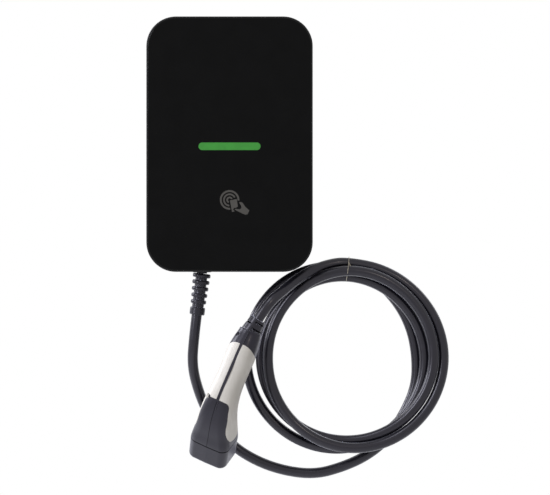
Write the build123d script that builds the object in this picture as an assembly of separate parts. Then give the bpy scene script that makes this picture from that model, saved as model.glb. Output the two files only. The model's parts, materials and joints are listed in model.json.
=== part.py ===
"""Wall charger for electric cars with its coiled cable and plug, in millimetres.

The wall is the plane y = 0 and the front looks along -Y. +Z is up and +X is to the viewer's right.
The origin is the centre of the four wall bolts, on the wall. Depths are measured from the wall.
"""

import math
import os

from build123d import *

os.makedirs("parts", exist_ok=True)

# Overall box
cover_width = 230.0
cover_height = 353.0
cover_corner = 41.0
overall_depth = 112.0
cover_depth = 30.0
cover_wall = 3.0
cover_edge_round = 1.6

# Front panel, bonded into the cover
panel_thickness = 2.5
panel_proud = 0.8
panel_margin = 2.4
panel_bevel = 0.6
panel_gap = 0.15

# Light window
light_width = 85.6
light_height = 10.4
light_z = -3.0
light_flange = 3.0
light_flange_thickness = 1.5
light_gap = 0.1

# Rear housing
housing_inset = 8.0
housing_wall = 3.0
housing_overlap = 4.0
recess_depth = 14.0
housing_edge_round = 2.0

# Cover gasket
gasket_width = 2.6
gasket_thickness = 2.0

# Wall bracket
bracket_width = 150.0
bracket_height = 230.0
bracket_sheet = 2.0
bracket_corner = 8.0
bolt_spacing_x = 120.0
bolt_spacing_z = 180.0
bolt_hole_radius = 3.5
hook_width = 110.0
hook_reach = 9.0
hook_lip = 12.0
tab_width = 40.0
tab_lip = 20.0
rail_clearance = 0.3
rail_thickness = 3.0
rail_tongue = 10.0

# Screws
cover_screw_radius = 2.0
cover_screw_length = 20.0
screw_head_radius = 3.8
screw_head_height = 3.0
screw_tube_radius = 6.2
screw_tube_wall = 2.0
screw_web = 4.0
screw_clearance = 0.25
boss_radius = 4.2
lock_screw_radius = 2.5
lock_screw_length = 9.0
drive_radius = 1.6
drive_depth = 1.4

# Supply entry in the back
entry_x = 52.0
entry_z = -140.0
entry_radius = 8.0
entry_flange_radius = 13.0
entry_flange_thickness = 2.0
entry_neck_radius = 10.5

# Electronics
board_width = 150.0
board_height = 190.0
board_thickness = 1.6
board_z = 22.0
board_post_radius = 4.0
board_post_height = 10.0
board_margin = 8.0
board_hole_radius = 1.8
contactor_size = (46.0, 70.0, 38.0)
contactor_place = (-44.0, 62.0)
supply_size = (54.0, 48.0, 24.0)
supply_place = (34.0, 72.0)
logic_size = (40.0, 30.0, 8.0)
logic_place = (36.0, 17.0)
terminal_pitch = 10.0
terminal_count = 5
terminal_height = 24.0
terminal_depth = 22.0
terminal_wire_radius = 2.6
terminal_screw_radius = 2.2
terminal_screw_depth = 8.0
input_terminal_place = (38.0, -52.0)
output_terminal_place = (-38.0, -52.0)
sensor_outer_radius = 17.0
sensor_inner_radius = 11.0
sensor_depth = 12.0
sensor_place = (38.0, -18.0)
reader_width = 60.0
reader_height = 54.0
reader_z = -77.0
strip_height = 22.0
led_size = 3.0
led_height = 1.2
led_count = 8
plate_thickness = 1.6

# Cable
cable_diameter = 14.5
cable_clearance = 0.2
wire_radius = 2.1
wire_ring_radius = 4.6

# Gland under the housing and its bend protector
gland_x = -39.3
gland_setback = 20.0
gland_depth = overall_depth - cover_depth - gland_setback
gland_thread_radius = 12.3
gland_thread_length = 17.0
gland_hole_clearance = 0.3
gland_hex_radius = 15.0
gland_hex_height = 4.0
gland_dome_radius = 13.6
gland_dome_height = 5.0
lock_nut_radius = 16.0
lock_nut_height = 5.0
gland_seal_radius = 9.8
gland_seal_length = 9.0
boot_tilt = 7.0
boot_length = 58.0
boot_sleeve_wall = 0.8
boot_rib_count = 5
boot_rib_pitch = 9.2
boot_rib_thickness = 5.8
boot_rib_round = 2.2
boot_rib_top_radius = 12.5
boot_rib_bottom_radius = 10.9
boot_collar_length = 10.8
boot_collar_radius = 10.6
boot_slot_width = 4.5
boot_slot_height = 1.6
boot_slot_count = 6

# Route of the lead from the bend protector to the coil, chosen by eye along the hanging cable
lead_route = [
    (-46.6, -62.0, -236.9),
    (-50.6, -62.0, -270.0),
    (-53.4, -54.0, -308.0),
    (-45.0, -38.5, -345.0),
    (-28.0, -22.0, -386.0),
    (2.0, -17.5, -423.0),
    (38.0, -23.0, -445.0),
    (78.0, -28.5, -458.0),
    (120.0, -33.5, -462.0),
    (158.0, -35.5, -451.5),
    (190.0, -36.0, -435.5),
    (212.0, -38.0, -421.0),
]

# Coil of cable: outer and inner outlines, and the depths between which it lies
coil_outer_centre = (162.8, -294.6)
coil_outer_half = (144.8, 137.1)
coil_inner_centre = (157.2, -298.1)
coil_inner_half = (95.8, 107.0)
coil_near_wall = 26.0
coil_thickness = 49.0
coil_edge_round = 10.0

# Wire tie round the top of the coil
tie_x = 167.0
tie_wire_radius = 0.9
tie_clearance = 0.4
tie_tail_length = 16.0

# Route of the tail from the coil to the plug, chosen by eye
tail_route = [
    (144.0, -72.5, -173.0),
    (117.0, -85.0, -177.0),
    (90.0, -100.0, -185.5),
    (69.5, -110.5, -199.5),
    (52.3, -116.8, -221.2),
    (39.65, -115.77, -241.67),
]
# Share of a route's shorter run that the arcs between two runs may take up
route_arc_share = 0.45

# Plug: where its handle's axis meets its head's axis, and how it hangs
plug_x = -13.7
plug_depth = 115.0
plug_z = -360.0
plug_lean = 23.0
plug_roll = 15.0
nose_bend = 45.0
bend_radius = 65.0
collar_top = 111.0
head_length = 61.0
crease = 0.8
# Sections across the plug: place, width, depth, corner rounding towards the ridge and away from it.
# The place is a height on the handle, a share of the bend's angle or a distance along the head.
handle_sections = [
    (collar_top, 31.0, 31.0, 14.5, 14.5),
    (90.0, 38.3, 39.3, 17.0, 17.3),
    (60.0, 40.2, 41.2, 17.6, 18.0),
]
bend_sections = [
    (0.0, 40.6, 42.6, 17.0, 17.4),
    (0.5, 45.0, 47.0, 15.6, 18.0),
    (1.0, 50.5, 50.8, 14.2, 19.0),
]
rim_section = (59.0, 54.0, 11.8, 19.5)
head_sections = [
    (44.0, 54.5, 52.5, 13.0, 19.3),
    (head_length, *rim_section),
]
grip_thickness = 2.2
plug_wall = 4.0
ridge_width = 4.0
ridge_rise = 0.6
ridge_root = 3.0
# Side view of the light grips. The collar's edge is given by depth away from the ridge and height,
# the front edge by distance along the head and depth away from its axis, as are the lobe and the back.
grip_reach = 30.0
grip_collar_points = [(-30.0, 92.0), (-18.9, 89.4), (-12.0, 84.6), (-2.0, 80.2), (30.0, 66.0)]
grip_front_points = [(-12.0, -8.0), (-3.2, -11.9), (8.5, -15.3), (20.3, -18.6), (37.0, -18.3), (47.0, -13.0)]
grip_lobe_points = [(47.0, -13.0), (52.5, -3.0), (52.5, 8.0), (44.0, 15.5), (20.0, 18.0)]
grip_front_height = 3.5
grip_back_height = 12.0
plug_boot_length = 19.0
plug_boot_tilt = 9.0
plug_boot_top_radius = 11.5
plug_boot_base_radius = 13.5
plug_boot_slot_width = 2.2
plug_boot_slot_count = 3
plug_boot_root = 4.0
nose_width = 52.0
nose_depth = 47.0
nose_corner = 15.0
nose_length = 29.0
nose_root = 10.0
nose_root_clearance = 1.0
carrier_edge_round = 1.5
contact_spacing = 16.0
power_contact_radius = 3.0
pilot_contact_radius = 1.5
contact_wall = 1.0
contact_length = 30.0
contact_recess = 2.0
contact_cavity_clearance = 0.2
contact_bore_share = 0.8
seal_thickness = 1.5
seal_set_back = 3.0
seal_clearance = 0.1
cap_length = 36.0
cap_wall = 3.0
cap_gap = 0.5
cap_taper = 1.0
cap_edge_round = 6.0
cap_seam = 0.3
plug_screw_radius = 1.8
plug_screw_head_radius = 3.0
plug_screw_head_height = 2.2
plug_screw_drive_radius = 1.2
plug_screw_length = 16.0
plug_screw_seat = 9.0
plug_post_radius = 4.5
# Places of the plug's screws: height along the handle and distance towards the ridge
plug_screw_places = [(100.0, 11.0), (6.6, 15.5), (44.0, -12.0)]
plug_boot_core = 2.0
plug_cable_reach = 5.0

cut_overrun = 1.0

# Places worked out from the sizes above
cable_radius = cable_diameter / 2
housing_width = cover_width - 2 * housing_inset
housing_height = cover_height - 2 * housing_inset
housing_corner = cover_corner - housing_inset
housing_front = overall_depth - cover_depth + housing_overlap
cover_face = overall_depth - panel_proud
cover_inside = overall_depth - panel_thickness - cover_wall
back_wall_front = recess_depth + housing_wall
board_back = back_wall_front + board_post_height
board_front = board_back + board_thickness
housing_bottom = -housing_height / 2
lock_screw_z = -bracket_height / 2 - tab_lip / 2


def front_plane(depth):
    """Plane parallel to the wall at a depth from it, its normal towards the viewer."""
    return Plane(origin=(0, -depth, 0), x_dir=(1, 0, 0), z_dir=(0, -1, 0))


def slab(width, height, corner, depth, thickness, x=0, z=0):
    """Rounded plate parallel to the wall."""
    outline = front_plane(depth) * Pos(x, z) * RectangleRounded(width, height, corner)
    return extrude(outline, thickness)


def block(width, height, depth, thickness, x=0, z=0):
    """Sharp-cornered block parallel to the wall."""
    outline = front_plane(depth) * Pos(x, z) * Rectangle(width, height)
    return extrude(outline, thickness)


def rod(radius, depth, length, x=0, z=0):
    """Round rod at right angles to the wall."""
    outline = front_plane(depth) * Pos(x, z) * Circle(radius)
    return extrude(outline, length)


def upright(radius, bottom, height, x, depth):
    """Round rod along Z."""
    return extrude(Plane(origin=(x, -depth, bottom)) * Circle(radius), height)


def hexagon(radius, bottom, height, x, depth):
    """Hexagonal prism along Z, given the radius of its inner circle."""
    outline = Plane(origin=(x, -depth, bottom)) * RegularPolygon(radius, 6, major_radius=False)
    return extrude(outline, height)


def save(shape, node):
    export_step(shape, f"parts/{node}.step")


# Screw places: in the four rounded corners and half way up each side
corner_centre_x = housing_width / 2 - housing_corner
corner_centre_z = housing_height / 2 - housing_corner
corner_reach = (housing_corner - housing_wall - screw_tube_radius + screw_tube_wall / 2) / math.sqrt(2)
side_screw_x = housing_width / 2 - housing_wall - screw_tube_radius + screw_tube_wall / 2
screw_places = [
    (side * (corner_centre_x + corner_reach), end * (corner_centre_z + corner_reach))
    for side in (-1, 1)
    for end in (-1, 1)
]
screw_places += [(side * side_screw_x, 0) for side in (-1, 1)]
board_posts = [
    (side * (board_width / 2 - board_margin), board_z + end * (board_height / 2 - board_margin))
    for side in (-1, 1)
    for end in (-1, 1)
]


def make_bracket():
    """Folded steel sheet: bolted plate, upper hook lip and lower tab for the lock screw."""
    plate = slab(bracket_width, bracket_height, bracket_corner, 0, bracket_sheet)
    top = bracket_height / 2
    hook_shelf = block(hook_width, bracket_sheet, 0, hook_reach, z=top - bracket_sheet / 2)
    lip = block(
        hook_width, hook_lip + bracket_sheet, hook_reach - bracket_sheet, bracket_sheet,
        z=top + (hook_lip - bracket_sheet) / 2,
    )
    tab_shelf = block(tab_width, bracket_sheet, 0, recess_depth, z=-top + bracket_sheet / 2)
    tab = block(
        tab_width, tab_lip + bracket_sheet, recess_depth - bracket_sheet, bracket_sheet,
        z=-top - (tab_lip - bracket_sheet) / 2,
    )
    bracket = plate + hook_shelf + lip + tab_shelf + tab
    for side in (-1, 1):
        for end in (-1, 1):
            bracket -= rod(
                bolt_hole_radius, -cut_overrun, bracket_sheet + 2 * cut_overrun,
                side * bolt_spacing_x / 2, end * bolt_spacing_z / 2,
            )
    bracket -= rod(
        lock_screw_radius, recess_depth - bracket_sheet - cut_overrun,
        bracket_sheet + 2 * cut_overrun, 0, lock_screw_z,
    )
    return bracket


def make_housing():
    """Moulded tub: recess behind its back wall for the bracket, screw tubes, posts and holes."""
    tub = slab(housing_width, housing_height, housing_corner, 0, housing_front)
    outer_edges = tub.edges().filter_by(GeomType.CIRCLE) + tub.edges().filter_by(GeomType.LINE)
    rear_edges = [edge for edge in outer_edges if abs(edge.center().Y) < cut_overrun]
    tub = fillet(rear_edges, housing_edge_round)
    inner_width = housing_width - 2 * housing_wall
    inner_height = housing_height - 2 * housing_wall
    inner_corner = housing_corner - housing_wall
    recess = slab(inner_width, inner_height, inner_corner, -cut_overrun, recess_depth + cut_overrun)
    room = slab(
        inner_width, inner_height, inner_corner, back_wall_front,
        housing_front - back_wall_front + cut_overrun,
    )
    for x, z in screw_places:
        room -= rod(screw_tube_radius, back_wall_front, housing_front - back_wall_front, x, z)
    for x, z in board_posts:
        room -= rod(board_post_radius, back_wall_front, board_post_height, x, z)
    housing = tub - recess - room
    for x, z in screw_places:
        housing -= rod(
            screw_tube_radius - screw_tube_wall, recess_depth - cut_overrun,
            housing_front - screw_web - recess_depth + cut_overrun, x, z,
        )
        housing -= rod(
            cover_screw_radius + screw_clearance, recess_depth, housing_front, x, z,
        )
    for x, z in board_posts:
        housing -= rod(board_hole_radius, back_wall_front, board_post_height + cut_overrun, x, z)
    rail_z = bracket_height / 2 + hook_lip + rail_clearance
    rail_back = bracket_sheet + rail_clearance
    tongue_front = hook_reach - bracket_sheet - rail_clearance
    housing += block(
        hook_width, rail_thickness, rail_back, recess_depth - rail_back, z=rail_z + rail_thickness / 2,
    )
    housing += block(
        hook_width, rail_tongue, rail_back, tongue_front - rail_back,
        z=rail_z - rail_tongue / 2 + rail_thickness,
    )
    housing -= rod(
        lock_screw_radius + screw_clearance, recess_depth - cut_overrun,
        housing_wall + 2 * cut_overrun, 0, lock_screw_z,
    )
    housing -= rod(
        entry_neck_radius, recess_depth - cut_overrun, housing_wall + 2 * cut_overrun,
        entry_x, entry_z,
    )
    housing -= upright(
        gland_thread_radius + gland_hole_clearance, housing_bottom - cut_overrun,
        housing_wall + 2 * cut_overrun, gland_x, gland_depth,
    )
    return housing


def make_cover():
    """Moulded front cover: skirt, front wall with the panel pocket, tongue for the gasket, bosses."""
    rear = overall_depth - cover_depth
    shell = slab(cover_width, cover_height, cover_corner, rear, cover_face - rear)
    front_edges = [edge for edge in shell.edges() if abs(edge.center().Y + cover_face) < panel_bevel]
    shell = fillet(front_edges, cover_edge_round)
    shell -= slab(
        cover_width - 2 * cover_wall, cover_height - 2 * cover_wall, cover_corner - cover_wall,
        rear - cut_overrun, cover_inside - rear + cut_overrun,
    )
    shell -= slab(
        cover_width - 2 * panel_margin, cover_height - 2 * panel_margin, cover_corner - panel_margin,
        overall_depth - panel_thickness, panel_thickness,
    )
    rim = housing_wall / 2
    tongue_start = housing_front + gasket_thickness
    tongue = slab(
        housing_width - 2 * rim + gasket_width, housing_height - 2 * rim + gasket_width,
        housing_corner - rim + gasket_width / 2, tongue_start, cover_inside - tongue_start,
    )
    tongue -= slab(
        housing_width - 2 * rim - gasket_width, housing_height - 2 * rim - gasket_width,
        housing_corner - rim - gasket_width / 2, tongue_start, cover_inside - tongue_start,
    )
    cover = shell + tongue
    for x, z in screw_places:
        cover += rod(boss_radius, housing_front, cover_inside - housing_front, x, z)
        cover -= rod(
            cover_screw_radius, housing_front - cut_overrun,
            cover_screw_length - screw_web + 2 * cut_overrun, x, z,
        )
    cover -= slab(
        light_width + 2 * light_gap, light_height + 2 * light_gap, light_height / 2,
        cover_inside - cut_overrun, cover_wall + 2 * cut_overrun, z=light_z,
    )
    return cover


def make_panel():
    """Thin glossy plate with a bevelled edge and the slot of the light window."""
    panel = slab(
        cover_width - 2 * (panel_margin + panel_gap), cover_height - 2 * (panel_margin + panel_gap),
        cover_corner - panel_margin - panel_gap, overall_depth - panel_thickness, panel_thickness,
    )
    front_edges = [edge for edge in panel.edges() if abs(edge.center().Y + overall_depth) < panel_bevel]
    panel = chamfer(front_edges, panel_bevel)
    panel -= slab(
        light_width + 2 * light_gap, light_height + 2 * light_gap, light_height / 2,
        overall_depth - panel_thickness - cut_overrun, panel_thickness + 2 * cut_overrun, z=light_z,
    )
    return panel


def make_light_lens():
    """Clear bar that fills the slot, with a flange behind the cover's front wall."""
    lens = slab(
        light_width, light_height, light_height / 2 - light_gap,
        cover_inside, overall_depth - cover_inside, z=light_z,
    )
    flange = slab(
        light_width + 2 * light_flange, light_height + 2 * light_flange,
        light_height / 2 + light_flange - light_gap, cover_inside - light_flange_thickness,
        light_flange_thickness, z=light_z,
    )
    return lens + flange


def make_gasket():
    """Rubber ring on the housing's rim."""
    rim = housing_wall / 2
    ring = slab(
        housing_width - 2 * rim + gasket_width, housing_height - 2 * rim + gasket_width,
        housing_corner - rim + gasket_width / 2, housing_front, gasket_thickness,
    )
    return ring - slab(
        housing_width - 2 * rim - gasket_width, housing_height - 2 * rim - gasket_width,
        housing_corner - rim - gasket_width / 2, housing_front, gasket_thickness,
    )


def pan_screw(shank_radius, head_depth, length, x, z):
    """Screw along -Y: head nearer the wall, recessed drive in its end."""
    screw = rod(screw_head_radius, head_depth - screw_head_height, screw_head_height, x, z)
    screw -= rod(drive_radius, head_depth - screw_head_height, drive_depth, x, z)
    return screw + rod(shank_radius, head_depth, length, x, z)


def make_cover_screws():
    seat = housing_front - screw_web
    return Compound(children=[
        pan_screw(cover_screw_radius - screw_clearance, seat, cover_screw_length, x, z)
        for x, z in screw_places
    ])


def make_lock_screw():
    """Screw from inside the housing through its back wall into the bracket's tab."""
    head = rod(screw_head_radius, back_wall_front, screw_head_height, 0, lock_screw_z)
    head -= rod(
        drive_radius, back_wall_front + screw_head_height - drive_depth, drive_depth, 0, lock_screw_z,
    )
    shank_radius = lock_screw_radius - screw_clearance
    shank = rod(
        shank_radius, back_wall_front - lock_screw_length, lock_screw_length, 0, lock_screw_z,
    )
    return head + shank


def make_entry_grommet():
    """Rubber grommet in the back wall, flanged on both faces."""
    grommet = rod(
        entry_flange_radius, recess_depth - entry_flange_thickness, entry_flange_thickness,
        entry_x, entry_z,
    )
    grommet += rod(
        entry_neck_radius, recess_depth, housing_wall, entry_x, entry_z,
    )
    grommet += rod(
        entry_flange_radius, back_wall_front, entry_flange_thickness, entry_x, entry_z,
    )
    bore_start = recess_depth - entry_flange_thickness
    return grommet - rod(
        entry_radius, bore_start, housing_wall + 2 * entry_flange_thickness, entry_x, entry_z,
    )


def make_board():
    board = block(board_width, board_height, board_back, board_thickness, z=board_z)
    for x, z in board_posts:
        board -= rod(board_hole_radius, board_back, board_thickness, x, z)
    return board


def make_board_screws():
    shank_radius = board_hole_radius - screw_clearance
    return Compound(children=[
        rod(board_post_radius, board_front, board_thickness, x, z)
        + rod(shank_radius, board_back - board_post_height / 2, board_post_height / 2 + board_thickness, x, z)
        for x, z in board_posts
    ])


def boxed_module(size, place):
    """Potted module standing on the board, its upper edges rounded."""
    width, height, depth = size
    module = block(width, height, board_front, depth, place[0], place[1])
    top = board_front + depth
    edges = [edge for edge in module.edges() if abs(edge.center().Y + top) < plate_thickness / 2]
    return fillet(edges, plate_thickness)


def make_terminals(place):
    """Row of screw terminals: a stepped body with a wire hole and a screw hole for each pole."""
    width = terminal_pitch * terminal_count
    body = block(width, terminal_height, board_front, terminal_depth, place[0], place[1])
    step = terminal_depth / 4
    body -= block(
        width, terminal_height / 4, board_front + terminal_depth - step, step,
        place[0], place[1] - terminal_height * 3 / 8,
    )
    for pole in range(terminal_count):
        x = place[0] + (pole - (terminal_count - 1) / 2) * terminal_pitch
        body -= upright(
            terminal_wire_radius, place[1] - terminal_height / 2, terminal_height / 2,
            x, board_front + terminal_depth / 3,
        )
        body -= rod(
            terminal_screw_radius, board_front + terminal_depth - terminal_screw_depth,
            terminal_screw_depth, x, place[1] + terminal_height / 8,
        )
    return body


def make_sensor():
    """Ring round the supply wires that senses leakage current."""
    ring = rod(sensor_outer_radius, board_front, sensor_depth, sensor_place[0], sensor_place[1])
    return ring - rod(
        sensor_inner_radius, board_front, sensor_depth, sensor_place[0], sensor_place[1],
    )


def make_light_board():
    """Lamp strip on the back of the lens flange."""
    front = cover_inside - light_flange_thickness
    strip = block(light_width, strip_height, front - plate_thickness - led_height, plate_thickness, z=light_z)
    for lamp in range(led_count):
        x = (lamp - (led_count - 1) / 2) * light_width / led_count
        strip += block(led_size, led_size, front - led_height, led_height, x, light_z)
    return strip


def make_card_reader():
    """Card reader board bonded behind the cover's front wall, with its chip housing."""
    board = slab(
        reader_width, reader_height, panel_margin, cover_inside - plate_thickness, plate_thickness,
        z=reader_z,
    )
    chip = block(
        reader_width / 4, reader_width / 4, cover_inside - 2 * plate_thickness, plate_thickness,
        z=reader_z,
    )
    return board + chip


# Gland: body with its thread through the housing floor, lock nut inside, seal, dome nut and boot
gland_hex_bottom = housing_bottom - gland_hex_height
dome_bottom = gland_hex_bottom - gland_dome_height
boot_top_z = dome_bottom - boot_rib_top_radius * math.sin(math.radians(boot_tilt)) - cable_clearance
cable_bore = cable_radius + cable_clearance
entry_top = gland_hex_bottom + gland_hex_height + gland_thread_length + wire_radius
boot_plane = Plane(origin=(gland_x, -gland_depth, boot_top_z)).rotated((0, 180 + boot_tilt, 0))


def make_wires():
    """Five wires from the cable's end in the gland up to the output terminals."""
    wires = []
    top = output_terminal_place[1] - terminal_height / 2
    bottom = entry_top
    for pole in range(terminal_count):
        offset = pole - (terminal_count - 1) / 2
        x = output_terminal_place[0] + offset * terminal_pitch
        turn = math.radians(180 - 360 / terminal_count * (pole + 0.5))
        low_x = gland_x + wire_ring_radius * math.cos(turn)
        low_y = -gland_depth + wire_ring_radius * math.sin(turn)
        high_y = -(board_front + terminal_depth / 3)
        route = FilletPolyline(
            (low_x, low_y, bottom),
            (low_x, low_y, bottom + (top - bottom) / 4),
            (x, high_y, top - (top - bottom) / 4),
            (x, high_y, top),
            radius=wire_radius * 3,
        )
        wires.append(sweep(Plane(origin=route @ 0, z_dir=route % 0) * Circle(wire_radius), route))
    return Compound(children=wires)


def make_gland_body():
    body = hexagon(gland_hex_radius, gland_hex_bottom, gland_hex_height, gland_x, gland_depth)
    body += upright(
        gland_thread_radius, gland_hex_bottom, gland_hex_height + gland_thread_length,
        gland_x, gland_depth,
    )
    body -= upright(
        gland_seal_radius, gland_hex_bottom, gland_seal_length, gland_x, gland_depth,
    )
    return body - upright(
        cable_bore, gland_hex_bottom, gland_hex_height + gland_thread_length, gland_x, gland_depth,
    )


def make_lock_nut():
    floor = housing_bottom + housing_wall
    nut = hexagon(lock_nut_radius, floor, lock_nut_height, gland_x, gland_depth)
    return nut - upright(
        gland_thread_radius, floor, lock_nut_height, gland_x, gland_depth,
    )


def make_gland_seal():
    seal = upright(gland_seal_radius, gland_hex_bottom, gland_seal_length, gland_x, gland_depth)
    return seal - upright(cable_bore, gland_hex_bottom, gland_seal_length, gland_x, gland_depth)


def make_gland_dome():
    """Domed nut that squeezes the seal."""
    dome = upright(gland_dome_radius, dome_bottom, gland_dome_height, gland_x, gland_depth)
    low_edges = [edge for edge in dome.edges() if edge.center().Z < dome_bottom + cut_overrun / 2]
    dome = fillet(low_edges, gland_dome_height / 3)
    return dome - upright(cable_bore, dome_bottom, gland_dome_height, gland_x, gland_depth)


def make_boot():
    """Ribbed bend protector: a thin sleeve with rounded ribs that taper, and an end collar."""
    sleeve_radius = cable_bore + boot_sleeve_wall
    boot = extrude(boot_plane * Circle(sleeve_radius), boot_length)
    for rib in range(boot_rib_count):
        share = rib / (boot_rib_count - 1)
        radius = boot_rib_top_radius + share * (boot_rib_bottom_radius - boot_rib_top_radius)
        place = boot_plane.offset(rib * boot_rib_pitch)
        disc = extrude(place * Circle(radius), boot_rib_thickness)
        boot += fillet(disc.edges(), boot_rib_round)
    collar_place = boot_plane.offset(boot_length - boot_collar_length)
    collar = extrude(collar_place * Circle(boot_collar_radius), boot_collar_length)
    boot += fillet(collar.edges(), boot_slot_height)
    for slot in range(boot_slot_count):
        turn = 360 / boot_slot_count * slot
        cut = collar_place * Rot(0, 0, turn) * Pos(boot_collar_radius, 0, boot_slot_height) * Box(
            boot_collar_radius - sleeve_radius, boot_slot_width, boot_slot_height,
        )
        boot -= cut
    return boot - extrude(boot_plane * Circle(cable_bore), boot_length)


def make_cable_entry():
    """The cable's stretch inside the boot and the gland."""
    boot_run = extrude(boot_plane * Circle(cable_radius), boot_length)
    gland_run = upright(cable_radius, boot_top_z, entry_top - boot_top_z, gland_x, gland_depth)
    return gland_run + boot_run


def cable_tube(route, label):
    """Straight runs joined by the largest arcs that the runs allow."""
    points = [Vector(*point) for point in route]
    radii = []
    for before, here, after in zip(points, points[1:], points[2:]):
        first, second = here - before, after - here
        half_turn = math.radians(first.get_angle(second)) / 2
        radii.append(route_arc_share * min(first.length, second.length) / math.tan(half_turn))
    path = FilletPolyline(*points, radius=radii)
    tube = sweep(Plane(origin=path @ 0, z_dir=path % 0) * Circle(cable_radius), path)
    expected = math.pi * cable_radius ** 2 * path.length
    print(label, "radii", [round(radius) for radius in radii])
    print(label, "length", round(path.length, 1), "volume", round(tube.volume), round(expected))
    return tube


def coil_outline(centre, half):
    return front_plane(coil_near_wall) * Pos(*centre) * Ellipse(*half)


def make_coil():
    """Outer shape of the wound cable: a flattened ring, thinnest where the tie holds it."""
    ring = extrude(coil_outline(coil_outer_centre, coil_outer_half), coil_thickness)
    ring -= extrude(coil_outline(coil_inner_centre, coil_inner_half), coil_thickness)
    return fillet(ring.edges().filter_by(GeomType.ELLIPSE), coil_edge_round)


def make_tie():
    """Wire bent round the coil's top and twisted into a short tail in front."""
    along = (tie_x - coil_outer_centre[0]) / coil_outer_half[0]
    top = coil_outer_centre[1] + coil_outer_half[1] * math.sqrt(1 - along ** 2)
    inner_along = (tie_x - coil_inner_centre[0]) / coil_inner_half[0]
    bottom = coil_inner_centre[1] + coil_inner_half[1] * math.sqrt(1 - inner_along ** 2)
    slack = tie_clearance + tie_wire_radius
    section = Plane(origin=(tie_x, 0, 0), x_dir=(0, 1, 0), z_dir=(1, 0, 0))
    middle = (-(coil_near_wall + coil_thickness / 2), (top + bottom) / 2)
    loop = section * Pos(*middle) * RectangleRounded(
        coil_thickness + 2 * slack, top - bottom + 2 * slack, coil_edge_round,
    )
    path = loop.wire()
    ring = sweep(Plane(origin=path @ 0, z_dir=path % 0) * Circle(tie_wire_radius), path)
    tail_start = coil_near_wall + coil_thickness + slack
    tail = rod(2 * tie_wire_radius, tail_start - tie_wire_radius, tie_tail_length, tie_x, middle[1])
    return ring + tail


# The plug in its own frame: its handle along +Z, its ridge towards -Y, its head bent towards +Y
plug_place = Location((plug_x, -plug_depth, plug_z)) * Rot(0, plug_lean, 0) * Rot(0, 0, -plug_roll)
bend_sin = math.sin(math.radians(nose_bend))
bend_cos = math.cos(math.radians(nose_bend))
bend_start = bend_radius * math.tan(math.radians(nose_bend / 2))


def handle_plane(height):
    return Plane(origin=(0, 0, height), x_dir=(1, 0, 0), z_dir=(0, 0, -1))


def nose_plane(distance):
    """Plane across the head at a distance from the bend."""
    return Plane(
        origin=(0, distance * bend_sin, -distance * bend_cos), x_dir=(1, 0, 0),
        z_dir=(0, bend_sin, -bend_cos),
    )


def bend_plane(share):
    """Plane across the bend at a share of its angle."""
    angle = math.radians(nose_bend * share)
    return Plane(
        origin=(0, bend_radius * (1 - math.cos(angle)), bend_start - bend_radius * math.sin(angle)),
        x_dir=(1, 0, 0), z_dir=(0, math.sin(angle), -math.cos(angle)),
    )


def half_outline(width, depth, front_round, back_round, inset):
    """Right half of a section, its front falling from the middle crease to the rounded side."""
    side = width / 2 - inset
    front = depth / 2 - inset
    half = make_face(Polyline((0, -front), (side, -front), (side, front - crease), (0, front), close=True))
    front_corner = half.vertices().group_by(Axis.X)[-1].sort_by(Axis.Y)[-1]
    half = fillet(front_corner, front_round - inset)
    back_corner = half.vertices().group_by(Axis.X)[-1].sort_by(Axis.Y)[0]
    return fillet(back_corner, back_round - inset)


def plug_half(inset):
    """Right half of the plug's outer form, pulled in by an inset."""
    sections = [handle_plane(height) * half_outline(*size, inset) for height, *size in handle_sections]
    sections += [bend_plane(share) * half_outline(*size, inset) for share, *size in bend_sections]
    sections += [nose_plane(distance) * half_outline(*size, inset) for distance, *size in head_sections]
    return loft(sections)


def make_ridge_half():
    """Right half of the raised band down the front of the handle."""
    strips = []
    for place, width, depth, *rounds in handle_sections:
        strips.append((handle_plane(place), depth))
    for share, width, depth, *rounds in bend_sections[:2]:
        strips.append((bend_plane(share), depth))
    height = ridge_root + ridge_rise
    return loft([
        plane * Pos(ridge_width / 4, depth / 2 + ridge_rise - height / 2) * Rectangle(ridge_width / 2, height)
        for plane, depth in strips
    ])


def side_point(distance, away):
    """Point of the head's side view, along the nose axis and away from the ridge side."""
    return (distance * bend_sin + away * bend_cos, -distance * bend_cos + away * bend_sin)


def make_grip_zone():
    """Side outline of the light grips: collar arc, S-shaped front edge and lobe beside the head."""
    side = Plane(origin=(0, 0, 0), x_dir=(0, 1, 0), z_dir=(1, 0, 0))
    front = (-grip_reach, grip_front_height)
    back = (grip_reach, grip_back_height)
    outline = Spline(grip_collar_points)
    outline += Line(grip_collar_points[-1], back)
    outline += Spline([back] + [side_point(*point) for point in reversed(grip_lobe_points)])
    outline += Spline([side_point(*point) for point in reversed(grip_front_points)] + [front])
    outline += Line(front, grip_collar_points[0])
    return extrude(side * make_face(outline), cover_width / 4, both=True)


body_half = plug_half(0)
ridge_half = make_ridge_half()
grip_half = (body_half - plug_half(grip_thickness)) & make_grip_zone()
grip_half -= Pos(0, -plug_depth / 2, 0) * Box(ridge_width, plug_depth, cover_height)


def carrier_outline(grow):
    return RectangleRounded(nose_width + 2 * grow, nose_depth + 2 * grow, nose_corner + grow)


def along_nose(outline, start, length):
    """Prism along the head's axis."""
    return extrude(nose_plane(start) * outline, length)


def hollow_slice(clearance, start, length):
    """Slice of the plug's hollow across the head, held off its wall by a clearance."""
    half = along_nose(Rectangle(plug_depth, plug_depth), start, length)
    half = half & plug_half(grip_thickness + plug_wall + clearance)
    return half + mirror(half, Plane.YZ)


def screw_bore(radius, start, length, place):
    """Rod across the plug from its left side, at a place given along the handle and towards the ridge."""
    height, forward = place
    plane = Plane(origin=(start, -forward, height), x_dir=(0, 1, 0), z_dir=(1, 0, 0))
    return extrude(plane * Circle(radius), length)


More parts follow.
